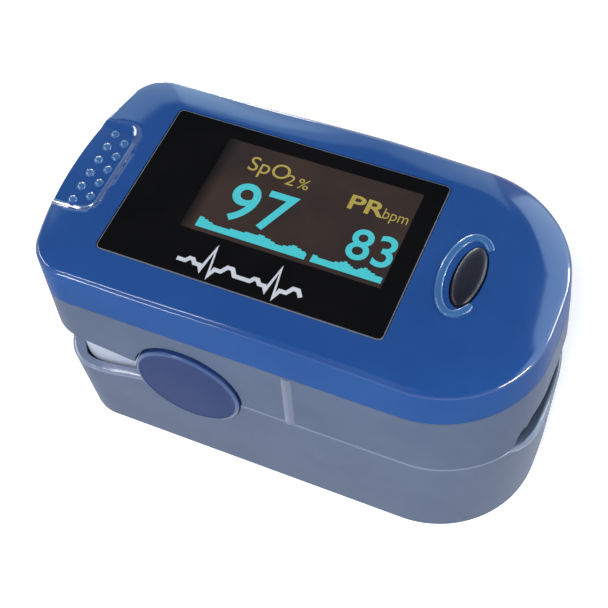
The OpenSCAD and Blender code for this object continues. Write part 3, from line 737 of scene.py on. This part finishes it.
def make_cover():
    """The cover with its openings, then the dots and the ridge on it."""
    obj = new_object("cover_moulding", cover_shell(), BLUE)
    cut(obj, prism(window_plan(WINDOW_GAP, WINDOW_SEAT_R), window_lo.z - 0.02, FAR))
    cut(obj, prism(window_plan(-WINDOW_LEDGE, 1.0), CUT_Z, FAR))
    cut(obj, prism(ellipse(BUTTON_X, 0, BUTTON_RX + BUTTON_GAP, BUTTON_RY + BUTTON_GAP), CUT_Z, FAR))
    cut(obj, scoop_tool())
    soften(obj, 0.1, 40)
    # The side faces get the lighter, nearly matt copy of the blue: painted reflection haze and painted
    # shade.
    paint(obj, BLUE_SIDE_PAINTED_HAZE, lambda c, n: abs(n.z) < 0.3 and c.z < edge_z(c.x) + 0.05)
    finish_shading(obj, 32)
    place(obj, "upper", "cover_plastic", "top_cover")

    # The dots take the lighter blue, a painted sheen.
    dots = new_object("grip_dots", grip_dots(), RIM_PAINTED_SHEEN)
    finish_shading(dots, 60)
    place(dots, "upper", "cover_plastic")

    # The ridge takes the lighter blue, a painted sheen.
    ridge = new_object("button_ridge", button_ridge(), RIM_PAINTED_SHEEN)
    finish_shading(ridge, 50)
    place(ridge, "upper", "cover_plastic")


make_cover()


# ---------------------------------------------------------------- window and lit display
WINDOW_BEVEL = 0.13
LIT = WINDOW_TOP + 0.012  # top of the lit and printed marks
MARK_FOOT = WINDOW_TOP - 0.03


def make_window():
    """The window, with a bevel all round painted light grey as a highlight."""
    b = WINDOW_BEVEL
    levels = [(0.0, window_lo.z), (0.0, WINDOW_TOP - b), (b * 0.3, WINDOW_TOP - b * 0.3), (b, WINDOW_TOP)]
    rings = [at(window_plan(-d, WINDOW_R - d), z) for d, z in levels]
    obj = new_object("window_glass", skin(rings), BLACK)
    # The bevel and sides take the light grey, a painted highlight.
    obj.data.materials.append(WINDOW_EDGE_HIGHLIGHT)
    painted_edge_faces = len(rings[0]) * 3
    for p in obj.data.polygons[:painted_edge_faces]:
        p.material_index = 1
    finish_shading(obj, 30)
    place(obj, "upper", "window_black", "display_window")


def trace(points, width):
    """A thin solid stroke of even width along points, with mitred corners."""
    left, right = [], []
    for i, p in enumerate(points):
        here = Vector(p)
        a = (here - Vector(points[i - 1])).normalized() if i else (Vector(points[1]) - here).normalized()
        b = (Vector(points[i + 1]) - here).normalized() if i < len(points) - 1 else a
        t = (a + b).normalized()
        across = Vector((-t.y, t.x))
        reach = width / 2 / max(0.45, across.dot(Vector((-a.y, a.x))))
        left.append(here + across * reach)
        right.append(here - across * reach)
    plan = [tuple(p) for p in right] + [tuple(p) for p in reversed(left)]
    return prism(plan, MARK_FOOT, LIT)


BAR_FOOT = -4.15
BAR_LOW = 0.8  # least and greatest height of the bars
BAR_HIGH = 1.3
BAR_STEP = 0.19


def wave_bar(x0, x1, phase):
    """A bar whose top edge steps gently up and down."""
    n = round((x1 - x0) / BAR_STEP)
    top = []
    for i in range(n):
        u = i / n
        swell = 0.5 + 0.5 * math.sin(phase + 15 * u + 1.3 * math.sin(7 * u + phase))
        y = BAR_FOOT + BAR_LOW + round((BAR_HIGH - BAR_LOW) * swell / BAR_STEP) * BAR_STEP
        x = x0 + (x1 - x0) * u
        top += [(x + BAR_STEP * 0.2, y), (x + BAR_STEP, y)]
    plan = [(x0, BAR_FOOT), (x1, BAR_FOOT)] + list(reversed(top)) + [(x0, BAR_FOOT + BAR_LOW)]
    return prism(plan, MARK_FOOT, LIT)


def glyphs(name, text, x, y, height, stretch, weight, material, spacing=1.0):
    """Lit digits or a generic unit label: thin solids set on the window."""
    curve = bpy.data.curves.new(name, "FONT")
    curve.body = text
    curve.size = height * 1.38 * MM
    curve.offset = weight * MM
    curve.extrude = 0.02 * MM
    curve.space_character = spacing
    curve.resolution_u = 5
    obj = bpy.data.objects.new(name, curve)
    obj.location = (x * MM, y * MM, (LIT - 0.02) * MM)
    obj.scale = (stretch, 1, 1)
    scene.collection.objects.link(obj)
    bpy.context.view_layer.update()
    graph = bpy.context.evaluated_depsgraph_get()
    mesh = bpy.data.meshes.new_from_object(obj.evaluated_get(graph), depsgraph=graph)
    mesh.transform(obj.matrix_world)
    bpy.data.objects.remove(obj)
    flat = bpy.data.objects.new(name, mesh)
    scene.collection.objects.link(flat)
    mesh.materials.clear()
    mesh.materials.append(material)
    place(flat, "upper", "display_glass")


BEAT = [(0.0, 0.0), (1.0, 0.0), (1.35, 0.45), (1.75, 0.45), (2.1, 0.0), (2.7, 0.0), (3.0, -0.5),
        (3.55, 2.6), (4.1, -1.0), (4.45, 0.0), (5.2, 0.0), (5.7, 0.75), (6.3, 0.75), (6.8, 0.0)]
BEAT_PITCH = 7.6
PULSE_X = -11.4
PULSE_Y = -8.75
PULSE_WIDTH = 0.5


def pulse_graphic():
    """Two beats of a pulse trace, printed in silver under the display."""
    points = [(PULSE_X + k * BEAT_PITCH + x, PULSE_Y + y) for k in range(2) for x, y in BEAT]
    return trace(points, PULSE_WIDTH)


LABELS = [
    # name, text, x, y, height, stretch, weight, material, spacing
    ("digits_oxygen", "97", -9.7, -2.0, 5.5, 0.98, 0.08, CYAN, 1.04),
    ("digits_pulse", "83", 4.95, -2.15, 4.2, 0.96, 0.07, CYAN, 1.04),
    ("label_oxygen", "SpO", -9.6, 5.1, 2.1, 1.0, 0.0, YELLOW),
    ("label_two", "2", -4.75, 4.6, 1.5, 1.1, 0.0, YELLOW),
    ("label_percent", "%", -3.3, 4.6, 1.45, 1.05, 0.0, YELLOW),
    ("label_pulse", "PR", 2.9, 4.0, 2.0, 1.36, 0.06, YELLOW),
    ("label_rate", "bpm", 7.05, 4.0, 1.5, 0.84, -0.01, YELLOW),
]


SCREEN_AREA = (-1.35, 1.95, 23.5, 13.3, 0.15, 2)  # centre, length, width, corner radius and steps
SCREEN_FOOT = WINDOW_TOP - 0.04
SCREEN_FACE = WINDOW_TOP + 0.004
BARS = ((-11.5, 1.45, 0.6), (2.1, 10.15, 2.2))  # ends and phase


def make_display():
    """The display's dark ground, then the bars, the printed trace and the labels on it."""
    marks = [
        ("screen_ground_painted_glow", prism(rounded_rect(*SCREEN_AREA), SCREEN_FOOT, SCREEN_FACE), SCREEN_PAINTED_GLOW),
        ("signal_bars", merge(*[wave_bar(*bar) for bar in BARS]), CYAN),
        ("pulse_graphic", pulse_graphic(), SILVER),
    ]
    for name, shape, material in marks:
        place(new_object(name, shape, material), "upper", "display_glass")
    for label in LABELS:
        glyphs(*label)


make_window()
make_display()


# ---------------------------------------------------------------- power button
BUTTON_FOOT = 30.9
BUTTON_PROFILE = [(0.0, 0.5), (0.05, 0.34), (0.16, 0.2), (0.34, 0.1), (0.62, 0.04), (1.0, 0.01),
                  (1.3, 0.0)]  # inset and depth below the top


def make_button():
    """The oval key, with a soft shoulder."""
    levels = [(0.0, BUTTON_FOOT)] + [(d, button_hi.z - depth) for d, depth in BUTTON_PROFILE]
    rings = []
    for d, z in levels:
        rings.append(at(ellipse(BUTTON_X, 0, max(BUTTON_RX - d, 0.12), max(BUTTON_RY - d * 1.6, 0.4)), z))
    obj = new_object("power_key", skin(rings), KEY)
    finish_shading(obj, 40)
    place(obj, "button", "button_grey", "power_button")


make_button()


# ---------------------------------------------------------------- housings
RIM_Z = Z_PART - 0.05
RIM_SOFT = 0.22  # rounding of the closed rim
MOUTH_X = 16.0  # the mouth's dip lies beyond this
MOUTH_HALF = 9.6
LIP_Z = 12.55  # lowest point of the mouth
LIP_R = (MOUTH_HALF ** 2 + (RIM_Z - LIP_Z) ** 2) / (2 * (RIM_Z - LIP_Z))
LIP_FALL = 0.55  # how far the lip falls towards its inner edge
NOTCH_X = -12.5  # the rim is rolled from here to the grip end
NOTCH_END_X = -24.6  # and it gets thicker past this
GRIP_RIM = [(-22.3, 12.45), (-19.9, 13.0), (-17.1, 14.0), (-15.6, 14.5), (-14.0, 15.0),
            (-13.0, RIM_Z - 0.1)]  # x and height of the rim in the notch
FOOT_R = 0.35
FLOOR_Z = 1.4  # top of the floor inside
CAP_SEAT_Y = 13.2  # how deep the recesses of the hinge caps go
ROLLED_HIGHLIGHT_FROM_Z = 11.8  # upward faces above this get the lighter grey, painted as a highlight on the rolled edge
DOOR_END_GAP = 0.12
DOOR_TONGUE = 0.55  # part of each edge of the door that runs in a groove
GROOVE_GAP = 0.1
GROOVE_Z = 0.62
QUARTER = [math.radians(90 * k / 5) for k in range(6)]


def lower_rim(x, y):
    """The rim at a point of the outline: height, rounding (down, in), thickness and inward fall."""
    if x > MOUTH_X:
        lip = LIP_Z + LIP_R - math.sqrt(LIP_R ** 2 - min(abs(y), MOUTH_HALF) ** 2)
        open_part = ease((MOUTH_HALF + 0.3 - abs(y)) / 1.6)
        soft = RIM_SOFT + 0.3 * open_part
        return min(lip, RIM_Z), soft, soft, WALL + 0.1, LIP_FALL * open_part
    if x < HINGE.x:
        open_part = ease((NOTCH_X - x) / 2)
        thick = WALL + 0.4 * ease((NOTCH_END_X - x) / 2)
        return along(GRIP_RIM, x), RIM_SOFT + 0.23 * open_part, RIM_SOFT + 0.5 * open_part, thick, 0.0
    return RIM_Z, 0.2, RIM_SOFT, WALL, 0.0


def lower_shell():
    """The lower housing: rounded foot, drafted wall, and a rim that is rolled where it shows."""
    profiles = []
    for x, y in lower_outline(Z_PART, 0):
        z, down, inward, thick, fall = lower_rim(x, y)
        profile = [(FOOT_R + 0.5, 0.0)]
        profile += [(FOOT_R * (1 - math.sin(a)), FOOT_R * (1 - math.cos(a))) for a in QUARTER]
        profile += [(0.0, z * 0.35), (0.0, z * 0.7)]
        profile += [(inward * (1 - math.cos(a)), z - down * (1 - math.sin(a))) for a in QUARTER]
        profile += [(thick - 0.1, z - fall), (thick, z - fall - 0.1), (thick, z - 3), (WALL, z - 4)]
        profile.append((WALL, FLOOR_Z))
        profiles.append(profile)
    return skin([lower_ring(places) for places in zip(*profiles)])


def lower_ring(places):
    """Points of the lower outline, each at its own inset and height."""
    cache = {}
    ring = []
    for i, (d, z) in enumerate(places):
        key = (round(d, 3), round(z, 2))
        if key not in cache:
            cache[key] = lower_outline(z, d)
        ring.append((*cache[key][i], z))
    return ring


def hinge_disc(r, y0, y1):
    """A disc round the hinge axis, from y0 to y1."""
    ring = list(reversed(ellipse(HINGE.x, HINGE.z, r, r, 96)))
    return skin([[(x, y, z) for x, z in ring] for y in (y0, y1)])


def cut_cap_seats(obj, gap):
    """Cuts the round recesses of the two hinge caps."""
    for side in (-1, 1):
        y0, y1 = sorted((side * CAP_SEAT_Y, side * ACROSS))
        cut(obj, hinge_disc(CAP_R + gap, y0, y1))


def cut_door_way(obj):
    """Cuts the slot that the battery door slides in, and the grooves for its tongues."""
    end = door_hi.x + DOOR_END_GAP
    slot = (door_hi.y - DOOR_TONGUE, -1)
    grooves = (door_hi.y + GROOVE_GAP, GROOVE_Z)
    for half, z0 in (slot, grooves):
        cut(obj, prism([(-FAR, -half), (end, -half), (end, half), (-FAR, half)], z0, FLOOR_Z + 0.05))


def make_lower():
    """The lower housing, its rolled edge painted in a lighter grey as a highlight."""
    obj = new_object("lower_moulding", lower_shell(), GREY)
    cut_cap_seats(obj, 0.06)
    cut_door_way(obj)
    # Upward faces of the rim get the lighter grey, a painted highlight.
    paint(obj, GREY_EDGE_PAINTED_HIGHLIGHT, lambda c, n: c.z > ROLLED_HIGHLIGHT_FROM_Z and n.z > 0.1)
    finish_shading(obj, 38)
    place(obj, "lower", "housing_plastic", "lower_housing")


SEAM_Z = Z_PART + 0.07
TOOL_Z = 12  # below the upper housing
ARCH_HALF = 9.15
ARCH_H = 4.7
ARCH_X = 15
ARCH_POWER = 0.8  # below 1 makes the arch squarer than an ellipse
GRIP_CUT = [(-15.9, 18.35), (-17.7, 18.6), (-20, 18.95), (-22.3, 19.3), (-24, 19.62), (-FAR, 19.75)]
RIB_X = 3.6
RIB_HALF = 0.65
RIB_RISE = 0.32
RIB_TOP_RISE = 0.12


def upper_shell():
    """The wall of the upper housing, before the openings are cut."""
    levels = [(WALL, SEAM_Z), (0.16, SEAM_Z), (0.05, SEAM_Z + 0.05), (0.0, SEAM_Z + 0.16)]
    levels += [(0.0, Z_COVER - 0.16), (0.05, Z_COVER - 0.05)]
    levels += [(0.12, Z_COVER - 0.02), (WALL, Z_COVER - 0.02)]
    return skin([at(upper_outline(z, d), z) for d, z in levels], loop=True)


def arch_tool():
    """The finger opening above the parting line, along X."""
    plan = []
    for k in range(33):
        a = math.radians(180 * k / 32)
        y = ARCH_HALF * math.copysign(abs(math.cos(a)) ** ARCH_POWER, math.cos(a))
        plan.append((y, Z_PART + ARCH_H * max(0.0, math.sin(a)) ** ARCH_POWER))
    plan += [(-ARCH_HALF, TOOL_Z), (ARCH_HALF, TOOL_Z)]
    return skin([[(x, y, z) for y, z in plan] for x in (ARCH_X, FAR)])


def grip_tool():
    """What the upper housing lacks at the grip end, across Y."""
    side = [(-FAR, TOOL_Z), (HINGE.x, TOOL_Z), (HINGE.x, GRIP_CUT[0][1])] + GRIP_CUT
    return skin([[(x, y, z) for x, z in side] for y in (ACROSS, -ACROSS)])


def rib(side):
    """The soft vertical rib on one side of the upper housing."""
    steps = 14
    rings = []
    for z in (SEAM_Z + 0.05, SEAM_Z + 0.4, Z_COVER - 1.2, Z_COVER - 0.3):
        y = HALF_W - UPPER_SIDE_DRAFT * (z - Z_PART)
        rise = RIB_RISE if z < Z_COVER - 1 else RIB_TOP_RISE
        ring = []
        for k in range(steps + 1):
            t = -1 + 2 * k / steps
            bulge = math.cos(t * math.pi / 2) ** 1.3
            ring.append((RIB_X + t * RIB_HALF, side * (y - 0.03 + rise * bulge), z))
        ring += [(RIB_X + RIB_HALF, side * (y - 0.5), z), (RIB_X - RIB_HALF, side * (y - 0.5), z)]
        rings.append(ring if side < 0 else list(reversed(ring)))
    return skin(rings)


def make_upper():
    """The upper housing with its openings, then the ribs on its sides in a lighter grey painted as a
    highlight.
    """
    obj = new_object("upper_moulding", upper_shell(), GREY)
    cut(obj, arch_tool())
    cut(obj, grip_tool())
    cut_cap_seats(obj, 0.25)
    soften(obj, 0.12, 55)
    finish_shading(obj, 38)
    place(obj, "upper", "housing_plastic", "upper_housing")
    # The ribs take the lighter grey, a painted highlight.
    ribs = new_object("side_ribs", merge(rib(-1), rib(1)), GREY_RIB_PAINTED_HIGHLIGHT)
    finish_shading(ribs, 45)
    place(ribs, "upper", "housing_plastic")


make_lower()
make_upper()


# ---------------------------------------------------------------- hinge caps
CAP_FACE = HALF_W + 0.42
CAP_ROOT = HALF_W - 1.1
CAP_EDGE = [(0.0, -0.42), (0.05, -0.22), (0.2, -0.07), (0.42, 0.0), (0.62, -0.02),
            (0.85, -0.05)]  # inset, rise
CAP_CROWN = [(4.0, 0.0), (2.0, 0.03), (0.3, 0.04)]  # radius, rise


def hinge_cap(name, side, node):
    """A turned cap: nearly flat face, stepped rim, rounded edge, with a painted highlight on the rim."""
    profile = [(CAP_R, CAP_ROOT)]
    profile += [(CAP_R - inset, CAP_FACE + rise) for inset, rise in CAP_EDGE]
    profile += [(r, CAP_FACE + rise) for r, rise in CAP_CROWN]
    rings = [[(x, side * y, z) for x, z in ellipse(HINGE.x, HINGE.z, r, r, 96)] for r, y in profile]
    if side > 0:
        rings = [list(reversed(ring)) for ring in rings]
    obj = new_object(name, skin(rings), CAP)
    # The slanted rim faces get the lighter blue, a painted highlight.
    paint(obj, CAP_RIM_PAINTED_HIGHLIGHT, lambda c, n: 0.25 < abs(n.y) < 0.97)
    finish_shading(obj, 50)
    place(obj, "lower", "cover_plastic", node)


hinge_cap("cap_front", -1, "hinge_cap_front")
hinge_cap("cap_rear", 1, "hinge_cap_rear")


# ---------------------------------------------------------------- carried-over CAD nodes
def dress(node, material):
    """Gives a carried-over CAD node its own material."""
    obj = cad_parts[node]
    obj.data.materials.clear()
    obj.data.materials.append(material)
    for p in obj.data.polygons:
        p.use_smooth = False


CAD_LOOKS = {
    # The skirt's pale grey is painted light.
    "upper_frame": SKIRT_PAINTED_LIGHT, "lower_frame": FRAME_GREY,
    "upper_finger_pad": SILICONE, "lower_finger_pad": SILICONE, "photodiode": CHIP,
    "photodiode_window": SENSOR, "led_emitter": IVORY, "led_window": SENSOR,
    "cover_screws": STEEL, "board_screws": STEEL, "frame_screws": STEEL, "torsion_springs": STEEL,
    "hinge_pins": STEEL, "battery_contacts": STEEL, "battery_springs": STEEL, "cell_front": FOIL,
    "cell_rear": FOIL, "flex_cable": AMBER, "main_board": BOARD, "board_chips": CHIP, "tact_switch": CHIP,
    "switch_plunger": IVORY, "oled_panel": CHIP, "display_carrier": IVORY, "battery_door": GREY,
}
for node_name, look in CAD_LOOKS.items():
    dress(node_name, look)


# ---------------------------------------------------------------- stage
def floor_material():
    """Matt white that glows a little, so that the floor stays pale."""
    material, tree, shader, coords = nodes_of("floor_white")
    soft = noise(tree, coords, 9, 2.0)
    white = two_tone(tree, soft.outputs["Fac"], (0.84, 0.84, 0.845), (0.86, 0.86, 0.86))
    tree.links.new(white, shader.inputs["Base Color"])
    shader.inputs["Roughness"].default_value = 0.9
    shader.inputs["Emission Color"].default_value = (1, 1, 1, 1)
    shader.inputs["Emission Strength"].default_value = 0.5
    return material


FLOOR_HALF = 3.0  # metres
FLOOR_DROP = 0.00002


def make_floor():
    """A plain floor, a hair below the part's base."""
    mesh = bpy.data.meshes.new("floor")
    s = FLOOR_HALF
    mesh.from_pydata([(-s, -s, 0), (s, -s, 0), (s, s, 0), (-s, s, 0)], [], [(0, 1, 2, 3)])
    obj = bpy.data.objects.new("floor", mesh)
    mesh.materials.append(floor_material())
    scene.collection.objects.link(obj)
    obj.location.z = -FLOOR_DROP


def make_world():
    """A studio that is bright near the horizon and dark overhead."""
    world = bpy.data.worlds.new("studio")
    world.use_nodes = True
    tree = world.node_tree
    back = tree.nodes["Background"]
    coords = tree.nodes.new("ShaderNodeTexCoord")
    split = tree.nodes.new("ShaderNodeSeparateXYZ")
    ramp = tree.nodes.new("ShaderNodeValToRGB")
    ramp.color_ramp.elements[0].position = 0.0
    ramp.color_ramp.elements[0].color = (1, 1, 1, 1)
    ramp.color_ramp.elements[1].position = 1.0
    ramp.color_ramp.elements[1].color = (0.03, 0.032, 0.036, 1)
    for position, level in ((0.4, 0.9), (0.68, 0.06)):
        stop = ramp.color_ramp.elements.new(position)
        stop.color = (level, level, level * 1.03, 1)
    tree.links.new(coords.outputs["Generated"], split.inputs["Vector"])
    tree.links.new(split.outputs["Z"], ramp.inputs["Fac"])
    tree.links.new(ramp.outputs["Color"], back.inputs["Color"])
    back.inputs["Strength"].default_value = 0.72
    scene.world = world


# ---------------------------------------------------------------- lights
WHITE = (1, 1, 1)
COOL = (0.56, 0.87, 1.0)


def area_light(name, position, target, size, power, colour=WHITE, highlight_only=False):
    """A light that either lights the surfaces or is only seen mirrored in them."""
    data = bpy.data.lights.new(name, "AREA")
    data.shape = "RECTANGLE"
    data.size, data.size_y = size
    data.energy = power
    data.color = colour
    obj = bpy.data.objects.new(name, data)
    obj.location = position
    aim = Vector(target) - Vector(position)
    obj.rotation_euler = aim.to_track_quat("-Z", "Y").to_euler()
    obj.visible_diffuse = not highlight_only
    obj.visible_glossy = highlight_only
    scene.collection.objects.link(obj)


def card(name, azimuth, elevation, distance, size, density, colour=WHITE):
    """A reflector seen only as a highlight: angles in degrees round the part, density in W/m2."""
    a, e = math.radians(azimuth), math.radians(elevation)
    centre = Vector((0.0, 0.0, 0.03))
    away = Vector((math.cos(e) * math.cos(a), math.cos(e) * math.sin(a), math.sin(e)))
    power = density * size[0] * size[1]
    area_light(name, centre + away * distance, centre, size, power, colour, True)


CARDS = [
    # name, azimuth, elevation, distance, size, density, colour
    ("finger_end", 42, 23, 0.45, (0.70, 0.32), 10.5, (0.58, 0.83, 1.0)),
    ("far_side", 106, 25, 0.40, (0.20, 0.28), 4.3, COOL),
    ("far_left", 132, 21, 0.40, (0.24, 0.26), 5, COOL),
    ("line_upper", 229, 46, 0.45, (0.08, 0.05), 80),
    ("line_lower", 244, 16, 0.45, (0.07, 0.04), 115),
    ("corner_near", -5, 18, 0.45, (0.20, 0.05), 230),
    ("corner_right", 38, 15, 0.45, (0.16, 0.035), 160),
    ("scoop_near", 118, 7, 0.40, (0.12, 0.06), 130),
    ("scoop_side", 142, 7, 0.40, (0.035, 0.06), 160),
    ("grip_end", 190, 30, 0.40, (0.26, 0.06), 55),
]


# ---------------------------------------------------------------- camera
CAMERA_AZIMUTH = math.radians(27.83)
CAMERA_ELEVATION = math.radians(56.25)
CAMERA_ROLL = math.radians(-5.62)
CAMERA_LENS = 73.4
CAMERA_SENSOR = 36
CAMERA_PLACE = (37.1, -72.6, 139.6)


def make_camera():
    """The camera at the photo's angle, turned about the view line by its roll."""
    az, el, roll = CAMERA_AZIMUTH, CAMERA_ELEVATION, CAMERA_ROLL
    level = Vector((math.cos(az), math.sin(az), 0))
    back = Vector((math.sin(az) * math.cos(el), -math.cos(az) * math.cos(el), math.sin(el)))
    upright = back.cross(level)
    right = level * math.cos(roll) + upright * math.sin(roll)
    up = upright * math.cos(roll) - level * math.sin(roll)
    data = bpy.data.cameras.new("camera")
    data.lens = CAMERA_LENS
    data.sensor_width = CAMERA_SENSOR
    data.clip_start = 0.01
    cam = bpy.data.objects.new("camera", data)
    rotation = Matrix((right, up, back)).transposed().to_4x4()
    cam.matrix_world = Matrix.Translation(Vector(CAMERA_PLACE) * MM) @ rotation
    scene.collection.objects.link(cam)
    scene.camera = cam


make_floor()
make_world()
area_light("key", (-0.02, -0.33, 0.50), (0, 0, 0.02), (0.20, 0.20), 3.0)
area_light("fill", (0.375, 0.34, 0.40), (0.02, 0, 0.03), (0.26, 0.26), 1.3, (0.78, 0.9, 1.0))
for row in CARDS:
    card(*row)
make_camera()
scene.view_settings.view_transform = "Standard"
